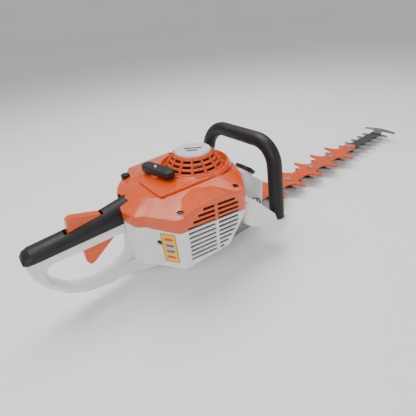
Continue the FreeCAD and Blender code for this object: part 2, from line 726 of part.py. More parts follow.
def rope_reel():
    hub = ring(REEL_R - 5, 5.0 + RUN_FIT, 9, V(0, 0, REEL_Z))
    low = ring(REEL_R, 5.0 + RUN_FIT, 2, V(0, 0, REEL_Z))
    high = ring(REEL_R, 5.0 + RUN_FIT, 2, V(0, 0, REEL_Z + 7))
    return join([hub, low, high])


def recoil_spring():
    """A clock spring drawn as nested half turns of alternating centre."""
    edges = []
    radius, centre = 8.0, 0.0
    pitch = 2.6
    for i in range(14):
        sign = 1 if i % 2 == 0 else -1
        a, b = V(centre + sign * radius, 0, 0), V(centre - sign * radius, 0, 0)
        edges.append(Part.Arc(a, V(centre, sign * radius, 0), b).toShape())
        centre = centre + sign * pitch / 2
        radius += pitch / 2
    path = Part.Wire(edges)
    start = V(8, 0, 0)
    strip = polygon([start + V(-0.3, 0, 0), start + V(0.3, 0, 0), start + V(0.3, 0, 5),
                     start + V(-0.3, 0, 5)])
    spring = path.makePipeShell([strip], True, True)
    spring.translate(V(0, 0, REEL_Z + 10))
    return spring


def flywheel():
    disc = ring(FLYWHEEL_R, SHAFT_R, 5, V(0, 0, 128))
    hub = ring(14, SHAFT_R, 12, V(0, 0, 128))
    vanes = []
    for i in range(12):
        vane = box(18, FLYWHEEL_R - 1, -1.2, 1.2, 132, 147)
        vanes.append(turned(turned(vane, 18, V(18, 0, 0)), 30 * i))
    magnet = box(FLYWHEEL_R - 10, FLYWHEEL_R - 1, -8, 8, 128, 136)
    return join([disc, hub, magnet] + vanes)


def crank_web(z):
    disc = cyl(WEB_R, WEB_T, V(0, 0, z))
    bite = box(-WEB_R - 1, -2, 9, 40, z - 1,
               z + WEB_T + 1).fuse(box(-WEB_R - 1, -2, -40, -9, z - 1, z + WEB_T + 1))
    return disc.cut(bite)


ROD_T = 8.0
EYE_GAP = 0.4
WEB_GAP = 19.0


def crankshaft():
    low_web, high_web = CRANK_Z - WEB_GAP / 2 - WEB_T, CRANK_Z + WEB_GAP / 2
    stub = WEB_GAP / 2 - ROD_T / 2 - EYE_GAP
    return join([
        cyl(SHAFT_R, low_web - 50, V(0, 0, 50)),
        cyl(SHAFT_R, 145 - high_web, V(0, 0, high_web)),
        crank_web(low_web), crank_web(high_web),
        cyl(5, stub + 1, V(-THROW, 0, low_web + WEB_T - 1)),
        cyl(5, stub + 1, V(-THROW, 0, high_web - stub)),
    ])


def crankcase():
    low, high = CRANK_Z - 25, CRANK_Z + 25
    shell = cyl(CASE_INNER_R + CASE_WALL, high - low, V(0, 0, low))
    spigot = cyl(BORE_R + 6, 34, V(0, 0, CRANK_Z), V(-1, 0, 0)).cut(box(-100, 100, -60, 60, high, 200))
    foot = box(-26, 26, -40, 40, low, low + 6)
    shell = join([shell, spigot, foot])
    chamber = cyl(CASE_INNER_R, 34, V(0, 0, CRANK_Z - 17))
    bores = [cyl(16, 8, V(0, 0, low)), cyl(16, 8, V(0, 0, high - 8)),
             cyl(SHAFT_R + 1, 60, V(0, 0, low - 1))]
    throat = cyl(BORE_R + 0.4, 60, V(0, 0, CRANK_Z), V(-1, 0, 0))
    return shell.cut([chamber, throat] + bores)


def main_bearings():
    low, high = CRANK_Z - 25, CRANK_Z + 17
    return Part.makeCompound([ring(16, SHAFT_R + RUN_FIT, 8, V(0, 0, z)) for z in (low, high)])


HEAD_X = THROW + ROD + 9.0


def cylinder():
    back = V(-1, 0, 0)
    base = CASE_INNER_R + CASE_WALL + 3.2
    barrel = cyl(BORE_R + 4, HEAD_X + 7 - base, V(-base, 0, CRANK_Z), back)
    flange = box(-base - 4, -base, -26, 26, CRANK_Z - 22, CRANK_Z + 22)
    fins = []
    step = (HEAD_X + 5 - base - 8) / FIN_COUNT
    for i in range(FIN_COUNT):
        x = -base - 8 - i * step
        fins.append(box(x - 1.8, x, -FIN_HALF, FIN_HALF, CRANK_Z - 25, CRANK_Z + 25))
    bore = cyl(BORE_R, HEAD_X - base + 1, V(-base + 1, 0, CRANK_Z), back)
    port = cyl(7, 2 * FIN_HALF + 20, V(-base - 22, -FIN_HALF - 10, CRANK_Z), LEFT)
    plug = cyl(5, 20, V(-HEAD_X + 2, 0, CRANK_Z), back)
    return join([barrel, flange] + fins).cut([bore, port, plug])


def piston():
    back = V(-1, 0, 0)
    pin_x = -THROW - ROD
    crown = cyl(BORE_R - RUN_FIT, 20, V(pin_x + 12, 0, CRANK_Z), back)
    hollow = box(pin_x - 4, pin_x + 20, -12, 12, CRANK_Z - 4.5, CRANK_Z + 4.5)
    eye = cyl(10, 9, V(pin_x, 0, CRANK_Z - 4.5))
    grooves = [ring(BORE_R + 1, BORE_R - 1.5, 1.2, V(pin_x - 3 - 2.6 * i, 0, CRANK_Z),
                    back) for i in range(2)]
    pin = cyl(3.5, 60, V(pin_x, 0, CRANK_Z - 30))
    return crown.cut([hollow, eye, pin] + grooves)


def piston_rings():
    back = V(-1, 0, 0)
    pin_x = -THROW - ROD
    return Part.makeCompound([
        ring(BORE_R - 0.02, BORE_R - 1.5, 1.2, V(pin_x - 3 - 2.6 * i, 0, CRANK_Z), back) for i in range(2)])


def wrist_pin():
    half = 14.0
    return cyl(3.5, 2 * half, V(-THROW - ROD, 0, CRANK_Z - half))


def connecting_rod():
    low = CRANK_Z - ROD_T / 2
    pin_x = -THROW - ROD
    small = cyl(6.5, ROD_T, V(pin_x, 0, low))
    big = cyl(8.0, ROD_T, V(-THROW, 0, low))
    shank = box(pin_x + 4, -THROW - 6, -3.5, 3.5, low + 1, low + ROD_T - 1)
    holes = [cyl(3.5 + RUN_FIT, 20, V(pin_x, 0, low - 5)), cyl(5, 20, V(-THROW, 0, low - 5))]
    return join([small, big, shank]).cut(holes)


def spark_plug():
    back = V(-1, 0, 0)
    x = -HEAD_X
    return join([
        cyl(4.8, 9, V(x, 0, CRANK_Z), back),
        cyl(9, 5, V(x - 8, 0, CRANK_Z), back),
        cyl(5, 12, V(x - 13, 0, CRANK_Z), back),
        cyl(7.5, 16, V(x - 20, 0, CRANK_Z), back),
    ])


def ignition_coil():
    core = box(FLYWHEEL_R + 0.5, FLYWHEEL_R + 9, -12, 12, 129, 136)
    block = box(FLYWHEEL_R + 1, FLYWHEEL_R + 8, -18, -12, 122, 140)
    return join([core, block])


def muffler():
    port_x = -(CASE_INNER_R + CASE_WALL + 3.2) - 22
    body = plan([(-88, -92), (-32, -92), (-32, -46), (-88, -46)], 74, 118, 6)
    inner = plan([(-86, -90), (-34, -90), (-34, -48), (-86, -48)], 76, 116, 4)
    neck = cyl(9, 18, V(port_x, -46.5, CRANK_Z), LEFT)
    outlet = cyl(5, 6, V(-80, -95, 84), LEFT)
    shell = join([body, neck, outlet]).cut(inner)
    return shell.cut([cyl(6.5, 40, V(port_x, -60, CRANK_Z), LEFT), cyl(3.5, 20, V(-80, -100, 84), LEFT)])


def carburettor():
    port_x = -(CASE_INNER_R + CASE_WALL + 3.2) - 22
    block = box(port_x - 15, port_x + 15, 48, 72, CRANK_Z - 14, CRANK_Z + 16)
    dome = cyl(8, 8, V(port_x, 60, CRANK_Z + 16))
    shaft = cyl(2.5, 44, V(port_x - 22, 55, CRANK_Z), AHEAD)
    bore = cyl(7, 60, V(port_x, 30, CRANK_Z), LEFT)
    return join([block, dome, shaft]).cut(bore)


def intake_manifold():
    port_x = -(CASE_INNER_R + CASE_WALL + 3.2) - 22
    tube = ring(9.5, 7, 20, V(port_x, FIN_HALF, CRANK_Z), LEFT)
    flange = ring(14, 7, 3, V(port_x, 45, CRANK_Z), LEFT)
    return join([tube.common(box(-200, 200, 0, 45, 0, 300)), flange])


def air_filter():
    """Pleated element between the carburettor and the side wall."""
    port_x = -(CASE_INNER_R + CASE_WALL + 3.2) - 22
    half = 21.0
    tray = box(port_x - half, port_x + half, 72.5, 75, CRANK_Z - 22, CRANK_Z + 26)
    pleats = []
    for i in range(9):
        x = port_x - 17.6 + 4.4 * i
        pleats.append(box(x - 1.4, x + 1.4, 74, 87, CRANK_Z - 18, CRANK_Z + 22))
    rim = box(port_x - half + 1, port_x + half - 1, 74, 78, CRANK_Z - 21, CRANK_Z + 25)
    return join([tray, rim] + pleats).cut(cyl(7, 10, V(port_x, 70, CRANK_Z), LEFT))


# ---------------------------------------------------------------- clutch and gearbox
def clutch_shoes():
    hub = ring(9, SHAFT_R, 12, V(0, 0, 52))
    shoes = []
    for i in range(2):
        shoe = ring(DRUM_R - 3.5, 12, 10, V(0, 0, 53)).cut([box(-60, 60, -3, 60, 40, 80)])
        shoes.append(turned(shoe, 180 * i))
    arms = [box(-13, 13, -3, 3, 53, 62).cut(cyl(SHAFT_R, 20, V(0, 0, 50)))]
    return join([hub] + arms + shoes)


def clutch_drum():
    shell = cyl(DRUM_R, 19, V(0, 0, 48)).cut(cyl(DRUM_R - 2, 18, V(0, 0, 50)))
    return join([shell, cyl(6, 12, V(0, 0, GEAR_Z + GEAR_T))]).cut(cyl(3, 40, V(0, 0, 20)))


def gear_wheel(teeth, base, thickness, phase):
    """Straight teeth drawn as trapezoids with backlash."""
    pitch_r = MODULE * teeth / 2
    root, tip = pitch_r - 1.25 * MODULE, pitch_r + 0.8 * MODULE
    step = 360.0 / teeth
    spots = []
    for i in range(teeth):
        for share, radius in ((-0.27, root), (-0.11, tip), (0.11, tip), (0.27, root)):
            angle = math.radians(phase + step * (i + share))
            spots.append((base.x + radius * math.cos(angle), base.y + radius * math.sin(angle)))
    return plan(spots, base.z, base.z + thickness)


def pinion():
    shape = gear_wheel(PINION_TEETH, V(0, 0, GEAR_Z), GEAR_T, 0)
    return shape.cut(cyl(3, 40, V(0, 0, 20)))


def eccentric_gear():
    wheel = gear_wheel(GEAR_TEETH, V(GEAR_X, 0, GEAR_Z), GEAR_T, 180.0 / GEAR_TEETH)
    windows = [turned(cyl(5, 20, V(GEAR_X + 19, 0, 20)), 60 * i, V(GEAR_X, 0, 0)) for i in range(6)]
    low = UPPER_BLADE_Z + BLADE_T + 0.4
    middle = (low + GEAR_Z) / 2
    lobes = [cyl(ECCENTRIC_R, GEAR_Z - middle, V(GEAR_X, BLADE_TRAVEL, middle)),
             cyl(ECCENTRIC_R, middle - low, V(GEAR_X, -BLADE_TRAVEL, low))]
    shaft = cyl(5, 38, V(GEAR_X, 0, 5))
    return join([wheel.cut(windows)] + lobes + [shaft])


def gear_bearings():
    return Part.makeCompound([ring(12, 5 + RUN_FIT, 6, V(GEAR_X, 0, z)) for z in (5, 38)])


def clutch_housing():
    """The sleeve around the clutch that stands the engine on the gearbox."""
    low, high = GEARBOX_TOP, CRANK_Z - 25
    sleeve = ring(CLUTCH_HOUSING_R, CLUTCH_HOUSING_R - 3, high - low, V(0, 0, low))
    windows = [turned(box(20, 50, -9, 9, low + 6, high - 6), 90 * i + 45) for i in range(4)]
    return sleeve.cut(windows)


def gearbox_housing():
    half, front, top = GEARBOX_HALF, GEARBOX_FRONT, GEARBOX_TOP
    outer = box(GEARBOX_REAR, front, -half, half, SKID_T, top)
    inner = box(GEARBOX_REAR + 4, front - 4, -half + 4, half - 4, SKID_T, top - 8)
    nose = box(front - 5, front + 1, -SPINE_HALF - 2, SPINE_HALF + 2, LOWER_BLADE_Z - 1,
               UPPER_BLADE_Z + BLADE_T + 0.3)
    bar_slot = box(front - 5, front + 1, -BAR_HALF, BAR_HALF, BAR_Z, BAR_Z + BAR_T)
    corners = [cyl(SKID_SCREW_R + 3, top - SKID_T, V(x, y, SKID_T)) for x, y in skid_screw_spots()]
    holes = [cyl(SKID_SCREW_R, 12, V(x, y, SKID_T)) for x, y in skid_screw_spots()]
    shell = outer.cut([inner, nose, bar_slot])
    boss = ring(16, 12, 6, V(GEAR_X, 0, top - 8))
    return join([shell, boss] + corners).cut(holes + [cyl(8, 40, V(0, 0, 20)),
            cyl(12, 6, V(GEAR_X, 0, top - 8))])


def skid_plate():
    """Bottom cover of the gearbox; its flat underside is what the machine stands on."""
    front = TANK_FRONT
    plate = plan([(GEARBOX_REAR, -GEARBOX_HALF), (front - 16, -GEARBOX_HALF), (front, -GEARBOX_HALF + 16),
                  (front, GEARBOX_HALF - 16), (front - 16, GEARBOX_HALF), (GEARBOX_REAR, GEARBOX_HALF)],
                  0, SKID_T)
    seat = ring(16, 12, 6, V(GEAR_X, 0, SKID_T)).cut(cyl(12, 20, V(GEAR_X, 0, 5)))
    rib = box(GEARBOX_FRONT + 1, front - 3, -20, 20, SKID_T, LOWER_BLADE_Z - 1.2)
    holes = [cyl(SKID_SCREW_R, 20, V(x, y, -1)) for x, y in skid_screw_spots()]
    heads = [cyl(SKID_SCREW_R + 2, 2, V(x, y, -1)) for x, y in skid_screw_spots()]
    return join([plate, seat, rib]).cut(holes + heads)


def skid_screw_spots():
    xs = (GEARBOX_REAR + SKID_SCREW_R + 3, GEARBOX_FRONT - SKID_SCREW_R - 3)
    return [(x, sign * (GEARBOX_HALF - SKID_SCREW_R - 3)) for x in xs for sign in (-1, 1)]


def skid_screws():
    """Countersunk flush with the underside."""
    return Part.makeCompound([join([cyl(SKID_SCREW_R, 13, V(x, y, 1)),
                                    cyl(SKID_SCREW_R + 1.9, 0.9, V(x, y, 0.1))])
                              for x, y in skid_screw_spots()])


# ---------------------------------------------------------------- cutting set
def tooth(x, sign, sweep):
    """One blade tooth: a wide base running out to a blunt point."""
    spots = [(x - 11, sign * (SPINE_HALF - 2)), (x + 9, sign * (SPINE_HALF - 2)),
             (x + sweep + 3, sign * TOOTH_REACH),
             (x + sweep - 3, sign * TOOTH_REACH)]
    return spots


def bolt_spots():
    return [BOLT_FIRST_X - BOLT_PITCH * i for i in range(BOLT_COUNT)]


def blade(z):
    solids = [box(BLADE_REAR_X, BAR_FRONT_X - 8, -SPINE_HALF, SPINE_HALF, z, z + BLADE_T)]
    for i in range(TOOTH_COUNT):
        x = BLADE_TIP_X - TOOTH_PITCH * i
        solids.append(plan(tooth(x, -1, 2), z, z + BLADE_T))
        solids.append(plan(tooth(x - TOOTH_PITCH / 2, 1, 2), z, z + BLADE_T))
    rim = 6.0
    yoke = box(GEAR_X - YOKE_REACH_X - rim, BLADE_REAR_X + rim, -YOKE_REACH_Y - rim, YOKE_REACH_Y + rim,
               z, z + BLADE_T)
    window = box(GEAR_X - YOKE_REACH_X, GEAR_X + YOKE_REACH_X, -YOKE_REACH_Y, YOKE_REACH_Y,
                 z - 1, z + BLADE_T + 1)
    slots = []
    for x in bolt_spots():
        reach = BLADE_TRAVEL + 0.6
        slots.append(box(x - reach, x + reach, -BOLT_R - 0.4, BOLT_R + 0.4, z - 1, z + BLADE_T + 1))
        slots.append(cyl(BOLT_R + 0.4, BLADE_T + 2, V(x - reach, 0, z - 1)))
        slots.append(cyl(BOLT_R + 0.4, BLADE_T + 2, V(x + reach, 0, z - 1)))
    return join(solids + [yoke]).cut([window] + slots)


def guide_bar():
    bar = plan([(GEARBOX_FRONT - 4, -BAR_HALF), (BAR_FRONT_X - 6, -BAR_HALF), (BAR_FRONT_X, -BAR_HALF + 6),
                (BAR_FRONT_X, BAR_HALF - 6), (BAR_FRONT_X - 6, BAR_HALF), (GEARBOX_FRONT - 4, BAR_HALF)],
               BAR_Z, BAR_Z + BAR_T)
    return bar.cut([cyl(BOLT_R, 20, V(x, 0, BAR_Z - 5)) for x in bolt_spots()])


def tooth_guard():
    """The orange comb over the bar, whose teeth stand proud of the blades."""
    spine = plan([(COMB_REAR_X, -15), (COMB_FRONT_X - 14, -15), (COMB_FRONT_X, -6), (COMB_FRONT_X, 6),
                  (COMB_FRONT_X - 14, 15), (COMB_REAR_X, 15)], COMB_Z, COMB_Z + COMB_T, 3)
    pieces = [spine]
    for i in range(COMB_TEETH):
        for sign in (-1, 1):
            x = COMB_FIRST_X - 2 * TOOTH_PITCH * i + max(0, sign) * COMB_STAGGER
            pieces.append(plan([(x - 26, sign * 13), (x + 17, sign * 13), (x + 8, sign * 22), (x + 3,
            sign * COMB_REACH),
                                (x - 3, sign * COMB_REACH), (x - 9, sign * 22)], COMB_Z, COMB_Z + COMB_T))
    holes = [cyl(BOLT_R, 20, V(x, 0, COMB_Z - 5)) for x in bolt_spots()]
    return join(pieces).cut(holes)


def bar_bolts():
    bolts = []
    for x in bolt_spots():
        shank = cyl(BOLT_R, COMB_Z + COMB_T - LOWER_BLADE_Z + 0.6, V(x, 0, LOWER_BLADE_Z - 0.6))
        head = cyl(7.0, 4.0, V(x, 0, COMB_Z + COMB_T)).cut(cyl(3.0, 3, V(x, 0, COMB_Z + COMB_T + 2)))
        nut = cyl(7.0, 4.0, V(x, 0, LOWER_BLADE_Z - 4.6))
        bolts.append(join([shank, head, nut]))
    return Part.makeCompound(bolts)


def tip_guard():
    """A swept steel bow over the blade's nose."""
    x, half = BLADE_TIP_X + TIP_GUARD_REACH, TIP_GUARD_HALF
    arm = [(BAR_FRONT_X - 20, -9), (x - 4, -13), (x - 8, -half), (x, -half - 1), (x + 11, -16), (x + 13, 0)]
    whole = arm + [(px, -py) for px, py in reversed(arm[:-1])]
    plate = plan(whole, BAR_Z + BAR_T, BAR_Z + BAR_T + 3)
    return plate.cut(cyl(3, 20, V(BAR_FRONT_X - 12, 0, BAR_Z - 2)))


# ---------------------------------------------------------------- small fittings
def badge():
    disc = cyl(BADGE_R, 2.0, V(0, 0, CONE_TOP_Z + 0.0))
    return disc.fuse(cyl(4.0, 12, V(0, 0, CONE_TOP_Z - 12)))


def label_plate():
    a, b = casing_outline()[3], casing_outline()[4]
    start, end = V(a[0], a[1], 0), V(b[0], b[1], 0)
    way = (end - start).normalize()
    out = V(way.y, -way.x, 0)
    low, high = SIDE_BOTTOM_Z + 12, parting_z(a[0]) - 5
    near, far = end - way * (LABEL_WIDTH + 8), end - way * 8
    base = polygon([V(near.x, near.y, low), V(far.x, far.y, low), V(far.x, far.y, high),
                    V(near.x, near.y, high)])
    return Part.Face(base).extrude(out * 0.5)


def casing_screws():
    screws = []
    for spot, way in screw_spots():
        head = cyl(4.4, 3.0, spot - way * 4.5, way).cut(cyl(2.2, 2, spot - way * 3, way))
        screws.append(head.fuse(cyl(2.4, 10, spot - way * 14.4, way)))
    return Part.makeCompound(screws)


def lever_pins():
    return Part.makeCompound(lever_bores())


def cable_path(radius):
    """From the trigger through the rear casing to the carburettor, in straight runs and tangent arcs."""
    port_x = -(CASE_INNER_R + CASE_WALL + 3.2) - 22
    spots = [V(TRIGGER_X + 12, 0, 117), V(-124, 0, 117), V(-112, 14, 122), V(-106, 40, 122),
             V(port_x - 24, 56, 113),
             V(port_x - 16.5, 58, 108)]
    edges = []
    last = spots[0]
    for before, corner, after in zip(spots, spots[1:], spots[2:]):
        start, middle, end = corner_cut(before, corner, after, 12)
        edges.append(Part.LineSegment(last, start).toShape())
        edges.append(Part.Arc(start, middle, end).toShape())
        last = end
    edges.append(Part.LineSegment(last, spots[-1]).toShape())
    circle = Part.Wire(Part.Circle(spots[0], AHEAD, radius).toShape())
    return Part.Wire(edges).makePipeShell([circle], True, False)


def throttle_cable():
    return cable_path(2.0)


def build():
    shroud = whole_shroud()
    keep("lower_housing", lower_housing())
    keep("engine_shroud", shroud.cut(filter_region(SEAM)))
    keep("filter_cover", shroud.common(filter_region(-SEAM)).cut([knob_shank(), knob_head(0.3)]))
    keep("filter_knob", knob_shank().fuse(knob_head(0)))
    keep("starter_cover", starter_cover())
    keep("starter_badge", badge())
    keep("rear_handle_frame", loop_frame())
    keep("rear_grip", rear_grip())
    keep("trigger", trigger())
    keep("lockout_lever", lockout())
    keep("lever_pins", lever_pins())
    keep("front_handle_grip", lean(handle_tube(HANDLE_R,
            HANDLE_END_Z).cut(handle_tube(HANDLE_CORE_R, HANDLE_END_Z - 5))))
    keep("front_handle_tube", lean(handle_tube(HANDLE_CORE_R, HANDLE_END_Z - 12)))
    keep("front_bracket", front_bracket())
    keep("bracket_screws", bracket_screws())
    keep("fuel_tank", fuel_tank())
    keep("fuel_cap", fuel_cap())
    keep("pull_grip", pull_grip())
    keep("pull_rope", pull_rope())
    keep("rope_reel", rope_reel())
    keep("recoil_spring", recoil_spring())
    keep("flywheel", flywheel())
    keep("crankshaft", crankshaft())
    keep("crankcase", crankcase())
    keep("main_bearings", main_bearings())
    keep("cylinder", cylinder())
    keep("piston", piston())
    keep("piston_rings", piston_rings())
    keep("wrist_pin", wrist_pin())
    keep("connecting_rod", connecting_rod())
    keep("spark_plug", spark_plug())
    keep("ignition_coil", ignition_coil())
    keep("muffler", muffler())
    keep("carburettor", carburettor())
    keep("intake_manifold", intake_manifold())
    keep("air_filter", air_filter())
    keep("clutch_shoes", clutch_shoes())
    keep("clutch_drum", clutch_drum())
    keep("pinion", pinion())
    keep("eccentric_gear", eccentric_gear())
    keep("gear_bearings", gear_bearings())
    keep("clutch_housing", clutch_housing())
    keep("gearbox_housing", gearbox_housing())
    keep("skid_screws", skid_screws())
    keep("skid_plate", skid_plate())
    keep("upper_blade", blade(UPPER_BLADE_Z))
    keep("lower_blade", blade(LOWER_BLADE_Z))
    keep("guide_bar", guide_bar())
    keep("tooth_guard", tooth_guard())
    keep("bar_bolts", bar_bolts())
    keep("tip_guard", tip_guard())
    keep("label_plate", label_plate())
    keep("casing_screws", casing_screws())
    keep("throttle_cable", throttle_cable())


build()
os.makedirs("parts", exist_ok=True)
for name, shape in PARTS.items():
    volume = shape.Volume / 1000
    print(f"{name:20s} solids {len(shape.Solids)} volume {volume:8.1f} cm3 valid {shape.isValid()}")
    shape.exportStep(f"parts/{name}.step")
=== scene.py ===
import json
import math

import bmesh
import bpy
from mathutils import Matrix, Vector


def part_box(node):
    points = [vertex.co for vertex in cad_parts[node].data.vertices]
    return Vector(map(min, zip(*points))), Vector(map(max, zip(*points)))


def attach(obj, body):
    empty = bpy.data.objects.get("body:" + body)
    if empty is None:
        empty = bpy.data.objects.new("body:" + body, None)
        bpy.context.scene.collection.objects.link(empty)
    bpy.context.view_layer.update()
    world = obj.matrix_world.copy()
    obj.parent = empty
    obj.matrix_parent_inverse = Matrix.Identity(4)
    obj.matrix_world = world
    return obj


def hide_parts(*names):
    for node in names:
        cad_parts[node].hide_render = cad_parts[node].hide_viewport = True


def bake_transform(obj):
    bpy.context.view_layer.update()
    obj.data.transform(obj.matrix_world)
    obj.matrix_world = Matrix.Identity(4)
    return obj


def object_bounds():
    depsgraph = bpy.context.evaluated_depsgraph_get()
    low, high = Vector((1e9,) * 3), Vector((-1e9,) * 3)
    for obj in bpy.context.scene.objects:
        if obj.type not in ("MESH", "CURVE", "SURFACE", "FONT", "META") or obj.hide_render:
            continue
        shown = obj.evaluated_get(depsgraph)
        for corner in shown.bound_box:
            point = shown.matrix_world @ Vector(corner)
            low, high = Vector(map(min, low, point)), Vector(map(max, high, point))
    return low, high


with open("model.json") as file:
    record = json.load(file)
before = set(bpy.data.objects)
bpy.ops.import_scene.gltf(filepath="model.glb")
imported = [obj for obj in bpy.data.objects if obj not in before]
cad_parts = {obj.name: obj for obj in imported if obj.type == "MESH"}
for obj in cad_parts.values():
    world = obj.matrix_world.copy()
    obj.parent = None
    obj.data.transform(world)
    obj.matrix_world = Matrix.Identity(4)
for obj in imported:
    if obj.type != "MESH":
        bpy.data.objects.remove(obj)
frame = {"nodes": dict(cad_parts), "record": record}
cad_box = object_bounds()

# Looks of the hedge trimmer.  Metres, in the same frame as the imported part.

MM = 0.001
NODES = frame["nodes"]

# Rope and knot
ROPE_RADIUS = 1.75 * MM
ROPE_RINGS = 40              # rings along the rope
ROPE_STEPS = 20
KNOT_SINK = 0.8              # where the rope enters the knot, as a share of the knot's radius

# Printed and moulded marks on the badge and the label
BADGE_STEPS = 72
BADGE_TURN = -38.0           # degrees
BADGE_BARS = ((4.5 * MM, 15.0 * MM), (-5.0 * MM, 10.0 * MM))    # offset from the middle, half length
BADGE_BAR_HALF = 2.3 * MM
BADGE_BAR_THICK = 0.25 * MM
LABEL_ROWS = (0.62, 0.20, -0.20, -0.62)     # heights of the bars, as shares of half the label
LABEL_BAR_REACH = 0.60       # share of the label's half width
LABEL_BAR_HALF = 0.09        # share of the label's half height
LABEL_BAR_THICK = 0.12 * MM
LABEL_LINE = 0.35 * MM       # half width of the border line
LABEL_LINE_THICK = 0.08 * MM

# Studio floor: rings out from the middle, flat to FLOOR_FLAT and then rising to FLOOR_RISE
FLOOR_RINGS = (2.0, 4.0, 5.5, 6.5, 7.3, 7.8, 8.0)
FLOOR_STEPS = 64
FLOOR_FLAT = 4.0
FLOOR_RISE = 3.5
FLOOR_MIDDLE = (0.2, 0)
FLOOR_GAP = 0.5 * MM         # below the lowest point of the object

# Camera: degrees, millimetres on a 36 mm sensor, and metres
VIEW_AZIMUTH = -35.44
VIEW_ELEVATION = 33.51
VIEW_ROLL = 5.53
VIEW_LENS = 24.40
VIEW_SENSOR = 36.0
VIEW_SPOT = (-0.2381, -0.3621, 0.3575)


# ---------------------------------------------------------------- shader helpers
def new_material(name):
    material = bpy.data.materials.new(name)
    material.use_nodes = True
    tree = material.node_tree
    return material, tree, tree.nodes["Principled BSDF"]


def link(tree, source, target):
    tree.links.new(source, target)


def noise(tree, size, detail, stretch=(1, 1, 1)):
    """Noise in object space whose features are about size metres across."""
    place = tree.nodes.new("ShaderNodeTexCoord")
    mapping = tree.nodes.new("ShaderNodeMapping")
    mapping.inputs["Scale"].default_value = stretch
    texture = tree.nodes.new("ShaderNodeTexNoise")
    texture.inputs["Scale"].default_value = 1.0 / size
    texture.inputs["Detail"].default_value = detail
    link(tree, place.outputs["Object"], mapping.inputs["Vector"])
    link(tree, mapping.outputs["Vector"], texture.inputs["Vector"])
    return texture.outputs["Fac"]


def ramp(tree, source, stops):
    node = tree.nodes.new("ShaderNodeValToRGB")
    link(tree, source, node.inputs["Fac"])
    elements = node.color_ramp.elements
    while len(elements) < len(stops):
        elements.new(0.5)
    for element, (position, colour) in zip(elements, stops):
        element.position = position
        element.color = (*colour, 1)
    return node.outputs["Color"]


def spread(tree, source, low, high):
    """Maps the middle of a noise's range on to low..high."""
    node = tree.nodes.new("ShaderNodeMapRange")
    node.inputs["From Min"].default_value = 0.3
    node.inputs["From Max"].default_value = 0.7
    node.inputs["To Min"].default_value = low
    node.inputs["To Max"].default_value = high
    link(tree, source, node.inputs["Value"])
    return node.outputs["Result"]


def soft_edge(tree, radius):
    node = tree.nodes.new("ShaderNodeBevel")
    node.samples = 6
    node.inputs["Radius"].default_value = radius
    return node.outputs["Normal"]


def bump(tree, height, depth, strength, normal):
    node = tree.nodes.new("ShaderNodeBump")
    node.inputs["Strength"].default_value = strength
    node.inputs["Distance"].default_value = depth
    link(tree, height, node.inputs["Height"])
    link(tree, normal, node.inputs["Normal"])
    return node.outputs["Normal"]


def edge_amount(tree, radius):
    """One along sharp edges and zero on flats: how far a rounded normal turns from the real one."""
    bevel = soft_edge(tree, radius)
    geometry = tree.nodes.new("ShaderNodeNewGeometry")
    dot = tree.nodes.new("ShaderNodeVectorMath")
    dot.operation = "DOT_PRODUCT"
    link(tree, bevel, dot.inputs[0])
    link(tree, geometry.outputs["Normal"], dot.inputs[1])
    node = tree.nodes.new("ShaderNodeMapRange")
    node.inputs["From Min"].default_value = 0.995
    node.inputs["From Max"].default_value = 0.85
    link(tree, dot.outputs["Value"], node.inputs["Value"])
    return node.outputs["Result"]


def blend_colour(tree, amount, first, second):
    """A colour mix.  The Mix node has a set of sockets for each data type, so colours go by number."""
    colour_a, colour_b, colour_out = 6, 7, 2
    node = tree.nodes.new("ShaderNodeMix")
    node.data_type = "RGBA"
    link(tree, amount, node.inputs["Factor"])
    link(tree, first, node.inputs[colour_a])
    link(tree, second, node.inputs[colour_b])
    return node.outputs[colour_out]


def times(tree, first, second):
    node = tree.nodes.new("ShaderNodeMath")
    node.operation = "MULTIPLY"
    link(tree, first, node.inputs[0])
    link(tree, second, node.inputs[1])
    return node.outputs["Value"]


def shade(colour, factor):
    return tuple(min(1.0, c * factor) for c in colour)


# ---------------------------------------------------------------- finishes
def moulded(name, colour, rough, grain=0.5 * MM, depth=0.03 * MM, edge=1.0 * MM, edge_wear_and_highlight=1.25, coat=0.0):
    """Injection-moulded plastic: fine spark grain, faint flow mottling and slightly polished edges, whose
    colour is scaled partly as rubbed wear and partly as a painted highlight.
    """
    material, tree, shader = new_material(name)
    mottling = noise(tree, 45 * MM, 3)
    base = ramp(tree, mottling, [(0.3, shade(colour, 0.93)), (0.7, shade(colour, 1.05))])
    # Along the edges the colour is scaled by the edge factor: above one it is a painted highlight as well as
    # rubbed wear, below one it darkens the edges.
    rubbed_and_highlit = ramp(tree, mottling, [(0.3, shade(colour, edge_wear_and_highlight)), (0.7, shade(colour, edge_wear_and_highlight))])
    wear_and_highlight = times(tree, edge_amount(tree, 0.6 * MM), spread(tree, noise(tree, 9 * MM, 4), 0.0, 0.55))
    link(tree, blend_colour(tree, wear_and_highlight, base, rubbed_and_highlit), shader.inputs["Base Color"])
    link(tree, spread(tree, noise(tree, 14 * MM, 5), rough - 0.05, rough + 0.07), shader.inputs["Roughness"])
    surface = bump(tree, noise(tree, grain, 2), depth, 0.5, soft_edge(tree, edge))
    link(tree, surface, shader.inputs["Normal"])
    shader.inputs["Coat Weight"].default_value = coat
    shader.inputs["Coat Roughness"].default_value = 0.12
    return material


def rubber(name, colour, rough):
    """Soft grip rubber: pebbled skin with a dusty bloom."""
    material, tree, shader = new_material(name)
    bloom = noise(tree, 22 * MM, 5)
    link(tree, ramp(tree, bloom, [(0.35, colour), (0.75, shade(colour, 1.7))]), shader.inputs["Base Color"])
    link(tree, spread(tree, bloom, rough - 0.07, rough + 0.08), shader.inputs["Roughness"])
    pebble = bump(tree, noise(tree, 0.9 * MM, 2), 0.12 * MM, 0.6, soft_edge(tree, 1.5 * MM))
    link(tree, pebble, shader.inputs["Normal"])
    shader.inputs["Specular IOR Level"].default_value = 0.4
    return material


